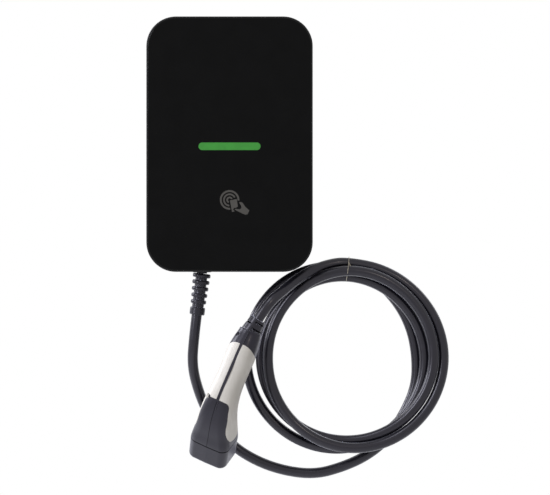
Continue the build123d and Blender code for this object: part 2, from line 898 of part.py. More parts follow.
def make_plug_shells():
    """Dark half shells and their light grips, hollow for the wires and held by screws from the left."""
    reach = rim_section[0] / 2
    hollow = plug_half(grip_thickness + plug_wall)
    for place in plug_screw_places:
        hollow -= screw_bore(plug_post_radius, 0, reach, place)
    right = body_half + ridge_half - grip_half - hollow
    left = mirror(right, Plane.YZ)
    left_grip = mirror(grip_half, Plane.YZ)
    for place in plug_screw_places:
        head_hole = screw_bore(
            plug_screw_head_radius + screw_clearance, -reach, reach - plug_screw_seat, place,
        )
        left -= head_hole
        left_grip -= head_hole
        left -= screw_bore(plug_screw_radius + screw_clearance, -plug_screw_seat, plug_screw_seat, place)
        right -= screw_bore(plug_screw_radius, 0, plug_screw_length - plug_screw_seat, place)
    return left, right, left_grip, grip_half


def make_plug_screws():
    """Countersunk-in-hole screws that clamp the half shells."""
    screws = []
    for place in plug_screw_places:
        head = screw_bore(
            plug_screw_head_radius, -plug_screw_seat - plug_screw_head_height,
            plug_screw_head_height, place,
        )
        head -= screw_bore(
            plug_screw_drive_radius, -plug_screw_seat - plug_screw_head_height,
            plug_screw_head_height / 2, place,
        )
        screws.append(head + screw_bore(
            plug_screw_radius - screw_clearance, -plug_screw_seat, plug_screw_length, place,
        ))
    return Compound(children=screws)


power_places = [
    (-contact_spacing, 0),
    (0, 0),
    (contact_spacing, 0),
    (-contact_spacing / 2, -contact_spacing * math.sqrt(3) / 2),
    (contact_spacing / 2, -contact_spacing * math.sqrt(3) / 2),
]
pilot_places = [
    (side * contact_spacing / 2, contact_spacing * math.sqrt(3) / 2) for side in (-1, 1)
]
contact_places = [(place, power_contact_radius) for place in power_places]
contact_places += [(place, pilot_contact_radius) for place in pilot_places]
nose_end = head_length + nose_length


def make_contact_carrier():
    """Nose with seven cavities, seated on the head's rim, its root inside the head."""
    carrier = along_nose(carrier_outline(0), head_length, nose_length)
    rim_edges = [
        edge for edge in carrier.edges()
        if abs(nose_plane(nose_end).to_local_coords(edge.center()).Z) < carrier_edge_round / 2
    ]
    carrier = fillet(rim_edges, carrier_edge_round)
    carrier += hollow_slice(nose_root_clearance, head_length - nose_root, nose_root)
    depth = contact_length + contact_recess
    for place, radius in contact_places:
        carrier -= along_nose(
            Pos(*place) * Circle(radius + contact_wall + contact_cavity_clearance),
            nose_end - depth, depth,
        )
    return carrier


def make_contacts():
    """Seven metal sleeves, each in its cavity."""
    sleeves = []
    start = nose_end - contact_recess - contact_length
    for place, radius in contact_places:
        sleeve = along_nose(Pos(*place) * Circle(radius + contact_wall), start, contact_length)
        bore = contact_length * contact_bore_share
        sleeve -= along_nose(Pos(*place) * Circle(radius), start + contact_length - bore, bore)
        sleeves.append(sleeve)
    return Compound(children=sleeves)


def make_carrier_seal():
    """Rubber ring round the carrier's root."""
    start = head_length - seal_set_back - seal_thickness
    ring = hollow_slice(seal_clearance, start, seal_thickness)
    return ring - hollow_slice(nose_root_clearance, start, seal_thickness)


def make_cap():
    """Protective cap: closed end, taper, and a cavity that clears the nose all round."""
    rim_start = head_length + cap_seam
    width, depth, front_round, back_round = rim_section
    end_section = (width - cap_taper, depth - cap_taper, front_round - cap_taper / 2, back_round - cap_taper / 2)
    half = loft([
        nose_plane(rim_start) * half_outline(*rim_section, 0),
        nose_plane(rim_start + cap_length) * half_outline(*end_section, 0),
    ])
    outer = half + mirror(half, Plane.YZ)
    end_edges = [
        edge for edge in outer.edges()
        if abs(nose_plane(rim_start + cap_length).to_local_coords(edge.center()).Z) < cap_gap
    ]
    outer = fillet(end_edges, cap_edge_round)
    return outer - along_nose(carrier_outline(cap_gap), rim_start, cap_length - cap_wall)


boot_seat = Pos(0, 0, collar_top) * Rot(0, plug_boot_tilt, 0)
collar_side = Pos(0, 0, collar_top + cover_height / 2) * Box(cover_height, cover_height, cover_height)


def make_plug_boot():
    """Short tapered bend protector that leans on the collar, with slots cut from alternate sides."""
    profile = make_face(Polyline(
        (cable_bore, -plug_boot_root), (plug_boot_base_radius, -plug_boot_root),
        (plug_boot_base_radius, 0), (plug_boot_top_radius, plug_boot_length),
        (cable_bore, plug_boot_length), close=True,
    ))
    boot = revolve(Plane.XZ * profile, Axis.Z)
    core = extrude(Plane.XY * Circle(cable_bore + boot_sleeve_wall), plug_boot_length)
    spacing = plug_boot_length / (plug_boot_slot_count + 1)
    for slot in range(plug_boot_slot_count):
        side = 1 if slot % 2 == 0 else -1
        cut = Pos(side * (plug_boot_base_radius + plug_boot_core), 0, (slot + 1) * spacing) * Box(
            2 * plug_boot_base_radius, 2 * plug_boot_base_radius, plug_boot_slot_width,
        )
        boot -= cut - core
    return boot_seat * boot & collar_side


def make_plug_cable_end():
    """The cable's stretch inside the plug's boot and collar."""
    return boot_seat * extrude(
        Plane.XY.offset(-plug_cable_reach) * Circle(cable_radius), plug_boot_length + plug_cable_reach,
    )


plug_left, plug_right, grip_left, grip_right = make_plug_shells()

parts = {
    "wall_bracket": make_bracket(),
    "rear_housing": make_housing(),
    "front_cover": make_cover(),
    "front_panel": make_panel(),
    "light_lens": make_light_lens(),
    "cover_gasket": make_gasket(),
    "cover_screws": make_cover_screws(),
    "lock_screw": make_lock_screw(),
    "entry_grommet": make_entry_grommet(),
    "main_board": make_board(),
    "board_screws": make_board_screws(),
    "contactor": boxed_module(contactor_size, contactor_place),
    "power_supply": boxed_module(supply_size, supply_place),
    "logic_module": boxed_module(logic_size, logic_place),
    "input_terminals": make_terminals(input_terminal_place),
    "output_terminals": make_terminals(output_terminal_place),
    "leakage_sensor": make_sensor(),
    "light_board": make_light_board(),
    "card_reader": make_card_reader(),
    "output_wires": make_wires(),
    "gland_body": make_gland_body(),
    "gland_lock_nut": make_lock_nut(),
    "gland_seal": make_gland_seal(),
    "gland_dome_nut": make_gland_dome(),
    "gland_boot": make_boot(),
    "cable_entry": make_cable_entry(),
    "cable_lead": cable_tube(lead_route, "lead"),
    "cable_coil": make_coil(),
    "cable_tail": cable_tube(tail_route, "tail"),
    "coil_tie": make_tie(),
}
plug_parts = {
    "plug_boot": make_plug_boot(),
    "plug_cable_end": make_plug_cable_end(),
    "plug_shell_left": plug_left,
    "plug_shell_right": plug_right,
    "plug_grip_left": grip_left,
    "plug_grip_right": grip_right,
    "contact_carrier": make_contact_carrier(),
    "contact_sleeves": make_contacts(),
    "carrier_seal": make_carrier_seal(),
    "plug_screws": make_plug_screws(),
    "plug_cap": make_cap(),
}
for node, shape in plug_parts.items():
    parts[node] = plug_place * shape
for node, shape in parts.items():
    save(shape, node)
boot_end = boot_plane.offset(boot_length).origin
boot_top = plug_place * boot_seat * Pos(0, 0, plug_boot_length)
nose_direction = (plug_place * Pos(0, bend_sin, -bend_cos)).position - plug_place.position
print("boot end", boot_end, "plug boot top", boot_top.position)
print("cap slides along", nose_direction)
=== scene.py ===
import json
import math

import bmesh
import bpy
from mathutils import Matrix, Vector


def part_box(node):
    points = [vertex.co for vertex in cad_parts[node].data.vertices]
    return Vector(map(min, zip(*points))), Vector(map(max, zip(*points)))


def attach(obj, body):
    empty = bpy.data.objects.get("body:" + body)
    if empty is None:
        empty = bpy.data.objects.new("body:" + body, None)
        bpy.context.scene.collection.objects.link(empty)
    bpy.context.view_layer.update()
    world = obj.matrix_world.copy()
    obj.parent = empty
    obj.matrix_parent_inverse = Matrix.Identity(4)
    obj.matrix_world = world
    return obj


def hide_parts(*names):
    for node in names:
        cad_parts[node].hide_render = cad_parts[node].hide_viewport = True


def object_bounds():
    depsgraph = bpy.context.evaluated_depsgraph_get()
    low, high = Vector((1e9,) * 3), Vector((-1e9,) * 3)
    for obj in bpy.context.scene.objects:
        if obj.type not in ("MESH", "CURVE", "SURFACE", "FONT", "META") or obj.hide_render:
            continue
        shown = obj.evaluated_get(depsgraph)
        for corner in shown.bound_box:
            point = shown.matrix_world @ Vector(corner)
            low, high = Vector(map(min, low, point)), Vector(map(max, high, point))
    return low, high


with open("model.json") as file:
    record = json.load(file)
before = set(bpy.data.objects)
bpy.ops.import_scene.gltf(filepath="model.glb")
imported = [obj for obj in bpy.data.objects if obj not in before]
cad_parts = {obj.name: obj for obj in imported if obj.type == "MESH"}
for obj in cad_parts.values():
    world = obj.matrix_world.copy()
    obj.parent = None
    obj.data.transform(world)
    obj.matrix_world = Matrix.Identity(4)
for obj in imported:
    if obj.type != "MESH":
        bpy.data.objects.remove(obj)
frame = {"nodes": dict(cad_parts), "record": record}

cad_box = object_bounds()
nodes = frame["nodes"]
middle = (Vector(cad_box[0]) + Vector(cad_box[1])) / 2
front_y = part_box("front_panel")[0][1]

# Sizes are in metres and angles in degrees, and a comment names those that aren't
MILLIMETRE = 0.001

# Photograph: frame in pixels, real size of a pixel at the front panel, and the panel's centre in pixels
PHOTO_WIDTH = 550
PHOTO_HEIGHT = 495
PIXEL_SIZE = 0.001381
PANEL_CENTRE = (229.5, 144.1)

# Camera: distance from the front panel, and width of its sensor in millimetres
CAMERA_DISTANCE = 4.0
SENSOR_WIDTH = 36.0

# World and floor: grey levels of the light around, the floor and the floor's own glow
AMBIENT = 0.25
FLOOR_GREY = 0.9
FLOOR_GLOW = 0.45
FLOOR_HEIGHT = -0.75
FLOOR_HALF_WIDTH = 1.1

# Lamps, all aimed at the middle of the object: name, place, width and height, watts, colour
COOL = (0.90, 0.92, 1.0)
TAN = (1.0, 0.90, 0.76)
WHITE = (1.0, 1.0, 1.0)
LAMPS = [
    ("key", (-1.8, -1.6, 0.7), (0.5, 1.6), 43, COOL),
    ("rim_left", (-2.05, 0.5, 0.85), (0.8, 1.3), 50, COOL),
    ("top", (-0.8, -1.3, 1.9), (0.9, 0.4), 10, COOL),
    ("spot", (1.2, -2.8, 1.1), (0.12, 0.12), 8, TAN),
    ("rear_right", (1.9, 2.0, 1.2), (1.2, 1.2), 10, WHITE),
]

# Noise of every surface: the scale is in waves a metre, the detail in octaves, and the ramp's ends in shares
MOTTLE_SCALE = 40
MOTTLE_DETAIL = 5
GLOSS_SCALE = 120
GLOSS_DETAIL = 3
GRAIN_DETAIL = 2
RAMP_ENDS = (0.35, 0.65)

# Surfaces: the grain is in waves a metre, and its depth is a share of a wave
SURFACES = {
    "black_plastic": dict(
        colour=(0.0035, 0.0035, 0.0038), roughness=0.4, grain=1800, depth=0.2, specular=0.18,
    ),
    "panel_gloss": dict(
        colour=(0.0030, 0.0030, 0.0031), roughness=0.2, grain=900, depth=0.02,
        specular=0.06, rough_spread=0.03,
    ),
    "steel": dict(
        colour=(0.5, 0.5, 0.52), roughness=0.3, grain=900, depth=0.15, metallic=1.0, stretch=(1, 1, 12),
    ),
    "painted_steel": dict(colour=(0.03, 0.03, 0.032), roughness=0.45, grain=1500, depth=0.2),
    "brass": dict(colour=(0.72, 0.53, 0.25), roughness=0.22, grain=1200, depth=0.1, metallic=1.0),
    "rubber": dict(
        colour=(0.005, 0.0046, 0.008), roughness=0.34, grain=1500, depth=0.006,
        specular=0.34, rough_spread=0.03,
    ),
    "cable_rubber": dict(
        colour=(0.005, 0.0046, 0.008), roughness=0.31, grain=300, depth=0.0006,
        specular=0.36, rough_spread=0.03,
    ),
    "board_green": dict(colour=(0.02, 0.13, 0.05), roughness=0.35, grain=600, depth=0.1),
    "module_dark": dict(colour=(0.03, 0.03, 0.033), roughness=0.5, grain=1500, depth=0.2),
    "module_grey": dict(colour=(0.42, 0.43, 0.44), roughness=0.5, grain=1500, depth=0.15),
    "wire": dict(colour=(0.2, 0.09, 0.05), roughness=0.35, grain=900, depth=0.1),
    "plug_dark": dict(
        colour=(0.0065, 0.006, 0.0105), roughness=0.36, grain=1400, depth=0.02,
        specular=0.30, rough_spread=0.03,
    ),
    "plug_light": dict(
        colour=(0.60, 0.57, 0.52), roughness=0.4, grain=1600, depth=0.1, mottle=0.03, specular=0.3,
    ),
    "dark_screw": dict(colour=(0.03, 0.03, 0.032), roughness=0.4, grain=1500, depth=0.05, metallic=1.0),
    # Painted shade: near-black matte surface of the sleeve seen through the bend protector's slots
    "slot_shade": dict(colour=(0.0012, 0.0012, 0.0016), roughness=0.8, grain=1500, depth=0.01, specular=0.03),
    "tie_metal": dict(colour=(0.30, 0.27, 0.22), roughness=0.3, grain=2000, depth=0.02, metallic=1.0),
    "mark_print": dict(
        colour=(0.078, 0.074, 0.067), roughness=0.5, grain=2600, depth=0.15, specular=0.1, mottle=0.06,
    ),
}
# Nodes with another surface than that of their slot
OTHER_SURFACES = {"plug_screws": "dark_screw"}

# Satin surfaces: sheen weight, sheen roughness and coat weight
SATIN = {"cable_rubber": (0.9, 0.3, 0.12), "rubber": (0.9, 0.3, 0.08), "plug_dark": (0.6, 0.35, 0.05)}
SHEEN_TINT = (0.84, 0.85, 1.0)
SPECULAR_TINT = (0.92, 0.89, 1.0)
COAT_ROUGHNESS = 0.16

# Light bar: its colour wavers between two greens
LIGHT_COLOURS = ((0.019, 0.178, 0.016), (0.023, 0.205, 0.019))
LIGHT_SCALE = 120
LIGHT_DETAIL = 2
LIGHT_ROUGHNESS = 0.35
LIGHT_GLOW = (0.03, 0.3, 0.02)
LIGHT_STRENGTH = 0.15

# Plug's seam between head and cap: a point of it, and the way that the cap slides
SEAM_PLACE = (-0.0203, -0.0732, -0.4042)
SEAM_NORMAL = (-0.107825, 0.683013, -0.722404)
# Painted shade along the seam: half width of its dark line, and its grey
SEAM_HALF_WIDTH = 0.0007
SEAM_SHADE_GREY = 0.001
# Parting line of the plug's two shells, down the front of its head from the end of the ridge to the seam
PARTING_PLACE = (-0.0137, -0.115, -0.36)
PARTING_NORMAL = (0.8891, -0.2588, -0.3773)
# Painted shade along the parting line: its half width, the share of the plug's colour left on it, and the
# head's length from the seam, beyond which it stops
PARTING_HALF_WIDTH = 0.0003
PARTING_SHADE = 0.25
HEAD_LENGTH = 0.0785

# Cable: the lead, the coil's turns and the tail as one spline
CABLE_DIAMETER = 0.0145
CABLE_RADIUS = CABLE_DIAMETER / 2
CABLE_ROUNDNESS = 17
CABLE_STEPS = 20
LEAD_ROUTE = [
    (-0.0466, -0.0620, -0.2369),
    (-0.0506, -0.0620, -0.2700),
    (-0.0534, -0.0540, -0.3080),
    (-0.0450, -0.0385, -0.3450),
    (-0.0280, -0.0220, -0.3860),
    (0.0020, -0.0175, -0.4230),
    (0.0380, -0.0230, -0.4450),
    (0.0780, -0.0285, -0.4580),
    (0.1200, -0.0335, -0.4620),
    (0.1580, -0.0355, -0.4515),
    (0.1900, -0.0355, -0.4370),
    (0.2180, -0.0345, -0.4155),
]
TAIL_ROUTE = [
    (0.1370, -0.0600, -0.1665),
    (0.1143, -0.0690, -0.1746),
    (0.0930, -0.0820, -0.1873),
    (0.0727, -0.1000, -0.2037),
    (0.0541, -0.1150, -0.2192),
    (0.03965, -0.11577, -0.24167),
]
COIL_CENTRE = (0.1608, -0.2960)
# Radius of the cable's centreline and its distance from the wall at each eighth of a turn,
# from the lower right, anticlockwise, in millimetres
COIL_EIGHTHS = [
    (113.4, 34), (98.2, 35), (103.4, 36), (123.6, 38),
    (134.2, 42), (136.2, 46), (133.5, 46), (127.0, 46),
    (115.0, 48.5), (110.3, 50), (107.8, 51.5), (111.1, 52),
    (113.1, 50), (116.2, 50), (115.2, 51), (115.2, 55),
    (118.0, 63), (122.3, 63.5), (120.5, 65), (119.0, 69),
    (110.1, 68), (105.9, 68), (112.3, 67), (124.3, 70),
    (132.8, 64), (136.4, 57), (131.8, 56), (128.6, 55),
]
COIL_START_ANGLE = -45.0
EIGHTH = 45.0
STEPS_PER_EIGHTH = 2
# The radii are measured at the panel's scale, and the coil lies this much further from the camera
COIL_VIEW_SPREAD = 1.015
PLUG_NODES = [
    "plug_boot", "plug_cable_end", "plug_shell_left", "plug_shell_right", "plug_grip_left",
    "plug_grip_right", "contact_carrier", "contact_sleeves", "carrier_seal", "plug_screws", "plug_cap",
]

# Wire tie: one loop round the strands where it crosses the coil, and its two ends twisted together.
# The loop leans sideways by a share of its height. The twist starts midway between two of its points, which
# are the foremost ones as seen from above at the two slopes.
TIE_X = 0.1665
TIE_WIRE_RADIUS = 0.0005
TIE_WIRE_ROUNDNESS = 3
TIE_LOOP_STEP = 10
TIE_LEAN = 0.0035 / 0.03
TIE_TWIST_SLOPES = (1.4, 0.6)
TIE_TWIST_WAY = (0.42, -0.25, -0.87)
TIE_TWIST_LENGTH = 0.0065
TIE_TWIST_TURNS = 2.5
TIE_TWIST_STEPS = 40
# Distance of the twisted wires from their axis in wire radii, and where and how fast their ends spread
TIE_TWIST_REACH = 1.05
TIE_SPLAY_START = 0.85
TIE_SPLAY = 6

# Inner sleeve of the plug's bend protector, which closes its slots behind: its axis and its radii. Its
# near-black matte surface is painted shade, so that the slots look deep and dark.
SLEEVE_ROUTE = [(0.03098, -0.1151, -0.2557), (0.0347, -0.1154, -0.2497), (0.03833, -0.11567, -0.2438)]
SLEEVE_RADII = (0.0124, 0.0117, 0.0110)
SLEEVE_ROUNDNESS = 6

# Card reader's sign in pixels of the photograph: radio rings, a card and the hand that holds it.
# A ring has its outer and inner radius, and the angles where it starts and stops.
SIGN_CENTRE = (229.6, 199.9)
SIGN_RINGS = [(9.8, 7.9, -4, 274), (6.5, 4.8, 25, 268), (3.3, 1.6, 24, 253)]
SIGN_CARD = [
    (229.9, 200.3), (236.7, 199.0), (237.9, 206.6), (236.2, 207.6), (234.0, 208.0), (233.0, 209.6),
    (234.8, 211.3), (232.0, 212.0),
]
SIGN_HAND = [
    (239.0, 202.3), (241.0, 202.0), (242.6, 202.9), (245.4, 206.9), (249.4, 210.4), (247.6, 214.2),
    (245.6, 214.7), (242.6, 213.7), (236.6, 210.6), (234.6, 209.6), (235.4, 208.7), (239.8, 209.4),
    (241.4, 208.0), (241.2, 206.2), (240.3, 204.4),
]
SIGN_THICKNESS = 0.00012
SIGN_ARC_STEPS = 40


def from_pixel(x, y):
    """Point of the front panel's plane at a pixel of the photograph."""
    return Vector(((x - PANEL_CENTRE[0]) * PIXEL_SIZE, front_y, (PANEL_CENTRE[1] - y) * PIXEL_SIZE))


def add_object(name, data):
    made = bpy.data.objects.new(name, data)
    bpy.context.scene.collection.objects.link(made)
    return made


# Nodes that more than one material uses
def grey(level):
    return (level, level, level, 1)


def maths(tree, operation, first, second=0.0):
    """Output of a math node whose inputs are numbers or other nodes' outputs."""
    node = tree.nodes.new("ShaderNodeMath")
    node.operation = operation
    for socket, value in zip(node.inputs, (first, second)):
        if isinstance(value, float):
            socket.default_value = value
        else:
            tree.links.new(value, socket)
    return node.outputs[0]


def mix_shaders(tree, share, first, second):
    node = tree.nodes.new("ShaderNodeMixShader")
    for socket, source in zip(node.inputs, (share, first, second)):
        tree.links.new(source, socket)
    return node.outputs[0]


def seen_ray(tree):
    """1 for rays that show the background: camera, glossy and transmission rays."""
    path = tree.nodes.new("ShaderNodeLightPath")
    seen = maths(tree, "MAXIMUM", path.outputs["Is Camera Ray"], path.outputs["Is Glossy Ray"])
    return maths(tree, "MAXIMUM", seen, path.outputs["Is Transmission Ray"])


def noise(tree, scale, detail, stretch=(1, 1, 1)):
    """Noise in the object's own metres."""
    place = tree.nodes.new("ShaderNodeTexCoord")
    mapping = tree.nodes.new("ShaderNodeMapping")
    mapping.inputs["Scale"].default_value = stretch
    texture = tree.nodes.new("ShaderNodeTexNoise")
    texture.inputs["Scale"].default_value = scale
    texture.inputs["Detail"].default_value = detail
    tree.links.new(place.outputs["Object"], mapping.inputs["Vector"])
    tree.links.new(mapping.outputs["Vector"], texture.inputs["Vector"])
    return texture.outputs["Fac"]


def ramp(tree, source, low, high):
    """Colour ramp from low to high; each is a grey value or a colour."""
    node = tree.nodes.new("ShaderNodeValToRGB")
    for stop, position, value in zip(node.color_ramp.elements, RAMP_ENDS, (low, high)):
        stop.position = position
        stop.color = (*value, 1) if isinstance(value, tuple) else grey(value)
    tree.links.new(source, node.inputs["Fac"])
    return node.outputs["Color"]


# Camera, world, floor and lamps
def make_camera():
    data = bpy.data.cameras.new("camera")
    data.sensor_width = SENSOR_WIDTH
    data.lens = SENSOR_WIDTH * CAMERA_DISTANCE / (PHOTO_WIDTH * PIXEL_SIZE)
    camera = add_object("camera", data)
    camera.location = from_pixel(PHOTO_WIDTH / 2, PHOTO_HEIGHT / 2) - Vector((0, CAMERA_DISTANCE, 0))
    camera.rotation_euler = (math.radians(90), 0, 0)
    bpy.context.scene.camera = camera


def make_world():
    world = bpy.data.worlds.new("studio")
    bpy.context.scene.world = world
    world.use_nodes = True
    tree = world.node_tree
    tree.nodes.clear()
    light = tree.nodes.new("ShaderNodeBackground")
    light.inputs["Color"].default_value = grey(AMBIENT)
    backdrop = tree.nodes.new("ShaderNodeBackground")
    backdrop.inputs["Color"].default_value = grey(1)
    out = tree.nodes.new("ShaderNodeOutputWorld")
    mixed = mix_shaders(tree, seen_ray(tree), light.outputs[0], backdrop.outputs[0])
    tree.links.new(mixed, out.inputs[0])


def floor_material():
    """White floor that looks like the backdrop and still keeps the shadow."""
    material = bpy.data.materials.new("floor")
    material.use_nodes = True
    tree = material.node_tree
    tree.nodes.clear()
    diffuse = tree.nodes.new("ShaderNodeBsdfDiffuse")
    diffuse.inputs["Color"].default_value = grey(FLOOR_GREY)
    glow = tree.nodes.new("ShaderNodeEmission")
    glow.inputs["Color"].default_value = grey(FLOOR_GLOW)
    lit = tree.nodes.new("ShaderNodeAddShader")
    out = tree.nodes.new("ShaderNodeOutputMaterial")
    tree.links.new(diffuse.outputs[0], lit.inputs[0])
    tree.links.new(glow.outputs[0], lit.inputs[1])
    mixed = mix_shaders(tree, seen_ray(tree), diffuse.outputs[0], lit.outputs[0])
    tree.links.new(mixed, out.inputs[0])
    return material


def make_floor():
    mesh = bpy.data.meshes.new("floor")
    corners = [(-1, -1), (1, -1), (1, 1), (-1, 1)]
    mesh.from_pydata([
        (middle.x + x * FLOOR_HALF_WIDTH, middle.y + y * FLOOR_HALF_WIDTH, FLOOR_HEIGHT) for x, y in corners
    ], [], [(0, 1, 2, 3)])
    floor = add_object("floor", mesh)
    mesh.materials.append(floor_material())


def area_lamp(name, place, size, power, colour):
    data = bpy.data.lights.new(name, "AREA")
    data.color = colour
    data.shape = "RECTANGLE"
    data.size, data.size_y = size
    data.energy = power
    lamp = add_object(name, data)
    lamp.location = place
    lamp.rotation_euler = (middle - Vector(place)).to_track_quat("-Z", "Y").to_euler()


# Materials
def new_material(name):
    material = bpy.data.materials.new(name)
    material.use_nodes = True
    tree = material.node_tree
    return material, tree, tree.nodes["Principled BSDF"]


def surface(name, colour, roughness, grain, depth, metallic=0.0, specular=0.5, mottle=0.12,
            rough_spread=0.06, stretch=(1, 1, 1)):
    """Surface with mottled colour, uneven gloss and a fine grain."""
    material, tree, shader = new_material(name)
    shader.inputs["Metallic"].default_value = metallic
    shader.inputs["Specular IOR Level"].default_value = specular
    low = tuple(channel * (1 - mottle) for channel in colour)
    high = tuple(channel * (1 + mottle) for channel in colour)
    colours = ramp(tree, noise(tree, MOTTLE_SCALE, MOTTLE_DETAIL, stretch), low, high)
    tree.links.new(colours, shader.inputs["Base Color"])
    gloss = noise(tree, GLOSS_SCALE, GLOSS_DETAIL, stretch)
    rough = ramp(tree, gloss, roughness - rough_spread, roughness + rough_spread)
    tree.links.new(rough, shader.inputs["Roughness"])
    bump = tree.nodes.new("ShaderNodeBump")
    bump.inputs["Strength"].default_value = 1.0
    bump.inputs["Distance"].default_value = depth / grain
    tree.links.new(noise(tree, grain, GRAIN_DETAIL, stretch), bump.inputs["Height"])
    tree.links.new(bump.outputs["Normal"], shader.inputs["Normal"])
    return material


def add_satin(material, sheen, sheen_roughness, coat):
    """Cool gloss, and the pale bloom of rubber and satin plastic where the light grazes it."""
    inputs = material.node_tree.nodes["Principled BSDF"].inputs
    inputs["Sheen Weight"].default_value = sheen
    inputs["Sheen Roughness"].default_value = sheen_roughness
    inputs["Sheen Tint"].default_value = (*SHEEN_TINT, 1)
    inputs["Coat Weight"].default_value = coat
    inputs["Coat Roughness"].default_value = COAT_ROUGHNESS
    inputs["Specular Tint"].default_value = (*SPECULAR_TINT, 1)


def plane_distance(tree, place, normal):
    """Distance from a plane, positive on the side that its normal points to."""
    coordinate = tree.nodes.new("ShaderNodeTexCoord")
    shifted = tree.nodes.new("ShaderNodeVectorMath")
    shifted.operation = "SUBTRACT"
    shifted.inputs[1].default_value = place
    along = tree.nodes.new("ShaderNodeVectorMath")
    along.operation = "DOT_PRODUCT"
    along.inputs[1].default_value = normal
    tree.links.new(coordinate.outputs["Object"], shifted.inputs[0])
    tree.links.new(shifted.outputs["Vector"], along.inputs[0])
    return along.outputs["Value"]


def line_value(tree, distance, half_width, shade):
    """From shade on the line to 1 at twice its half width."""
    node = tree.nodes.new("ShaderNodeMapRange")
    node.inputs["From Min"].default_value = half_width
    node.inputs["From Max"].default_value = 2 * half_width
    node.inputs["To Min"].default_value = shade
    tree.links.new(maths(tree, "ABSOLUTE", distance), node.inputs["Value"])
    return node.outputs["Result"]


def paint_seam_shade(material):
    """Painted shade: dark lines along the plug's seam between head and cap and along the parting line of its
    two shells on the head, with lowered gloss, in place of the shade that falls into these narrow gaps.
    """
    tree = material.node_tree
    shader = tree.nodes["Principled BSDF"]
    from_seam = plane_distance(tree, SEAM_PLACE, SEAM_NORMAL)
    from_parting = plane_distance(tree, PARTING_PLACE, PARTING_NORMAL)
    seam = line_value(tree, from_seam, SEAM_HALF_WIDTH, 0.0)
    parting = line_value(tree, from_parting, PARTING_HALF_WIDTH, PARTING_SHADE)
    on_cap = maths(tree, "GREATER_THAN", from_seam, 0.0)
    above_head = maths(tree, "LESS_THAN", from_seam, -HEAD_LENGTH)
    off_head = maths(tree, "MAXIMUM", on_cap, above_head)
    level = maths(tree, "MINIMUM", seam, maths(tree, "MAXIMUM", parting, off_head))
    mix = tree.nodes.new("ShaderNodeMix")
    mix.data_type = "RGBA"
    mix.inputs["A"].default_value = grey(SEAM_SHADE_GREY)
    base = shader.inputs["Base Color"].links[0].from_socket
    tree.links.new(level, mix.inputs["Factor"])
    tree.links.new(base, mix.inputs["B"])
    tree.links.new(mix.outputs["Result"], shader.inputs["Base Color"])
    gloss = maths(tree, "MULTIPLY", level, shader.inputs["Specular IOR Level"].default_value)
    tree.links.new(gloss, shader.inputs["Specular IOR Level"])


def make_light_material():
    material, tree, shader = new_material("light_green")
    colours = ramp(tree, noise(tree, LIGHT_SCALE, LIGHT_DETAIL), *LIGHT_COLOURS)
    tree.links.new(colours, shader.inputs["Base Color"])
    shader.inputs["Roughness"].default_value = LIGHT_ROUGHNESS
    shader.inputs["Emission Color"].default_value = (*LIGHT_GLOW, 1)
    shader.inputs["Emission Strength"].default_value = LIGHT_STRENGTH
    return material


# Cable
def smooth_between(values, index, share):
    """Catmull-Rom value between values[index] and the next one."""
    last = len(values) - 1
    a, b, c, d = (values[min(max(index + k, 0), last)] for k in (-1, 0, 1, 2))
    return 0.5 * (
        2 * b + (c - a) * share + (2 * a - 5 * b + 4 * c - d) * share ** 2
        + (3 * b - a - 3 * c + d) * share ** 3
    )


def coil_route():
    """Control points of the turns, pushed out so that the spline itself has the wanted radius."""
    step = math.radians(EIGHTH / STEPS_PER_EIGHTH)
    # At the middle of a span the spline takes 3/4 of one control point and 1/8 of each of its neighbours
    push = COIL_VIEW_SPREAD / (0.75 + 0.25 * math.cos(step))
    radii = [radius for radius, depth in COIL_EIGHTHS]
    depths = [depth for radius, depth in COIL_EIGHTHS]
    route = []
    for number in range((len(COIL_EIGHTHS) - 1) * STEPS_PER_EIGHTH + 1):
        index, part = divmod(number, STEPS_PER_EIGHTH)
        share = part / STEPS_PER_EIGHTH
        radius = smooth_between(radii, index, share) * push * MILLIMETRE
        depth = smooth_between(depths, index, share) * MILLIMETRE
        angle = math.radians(COIL_START_ANGLE) + number * step
        route.append((
            COIL_CENTRE[0] + radius * math.cos(angle), -depth, COIL_CENTRE[1] + radius * math.sin(angle),
        ))
    return route


def tube_curve(name, radius, roundness):
    curve = bpy.data.curves.new(name, "CURVE")
    curve.dimensions = "3D"
    curve.bevel_depth = radius
    curve.bevel_resolution = roundness
    curve.use_fill_caps = True
    return curve


def place_points(spline, route):
    spline.points.add(len(route) - 1)
    for point, place in zip(spline.points, route):
        point.co = (*place, 1)


def make_cable():
    curve = tube_curve("charging_cable", CABLE_RADIUS, CABLE_ROUNDNESS)
    curve.resolution_u = CABLE_STEPS
    spline = curve.splines.new("NURBS")
    place_points(spline, LEAD_ROUTE + coil_route() + TAIL_ROUTE)
    spline.order_u = 3
    spline.use_endpoint_u = True
    cable = add_piece("charging_cable", curve, "cable_rubber")
    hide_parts("cable_lead", "cable_coil", "cable_tail")
    return cable


# Pieces that the solids leave plain
def add_piece(name, data, material):
    piece = add_object(name, data)
    data.materials.append(materials[material])
    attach(piece, "wallbox")
    return piece


def hull_2d(points):
    """Convex outline of the points, as a closed list of its corners."""
    points = sorted(set(points))

    def turns_in(a, b, c):
        return (b[0] - a[0]) * (c[1] - b[1]) - (b[1] - a[1]) * (c[0] - b[0]) <= 0

    def chain(ordered):
        corners = []
        for point in ordered:
            while len(corners) > 1 and turns_in(corners[-2], corners[-1], point):
                corners.pop()
            corners.append(point)
        return corners[:-1]

    return chain(points) + chain(reversed(points))


def strand_centres(x):
    """Where the cable's turns cross the plane at x near the coil's top."""
    route = coil_route()
    centres = []
    for a, b in zip(route, route[1:]):
        if (a[0] - x) * (b[0] - x) < 0 and a[2] > COIL_CENTRE[1]:
            share = (x - a[0]) / (b[0] - a[0])
            centres.append((a[1] + share * (b[1] - a[1]), a[2] + share * (b[2] - a[2])))
    return centres


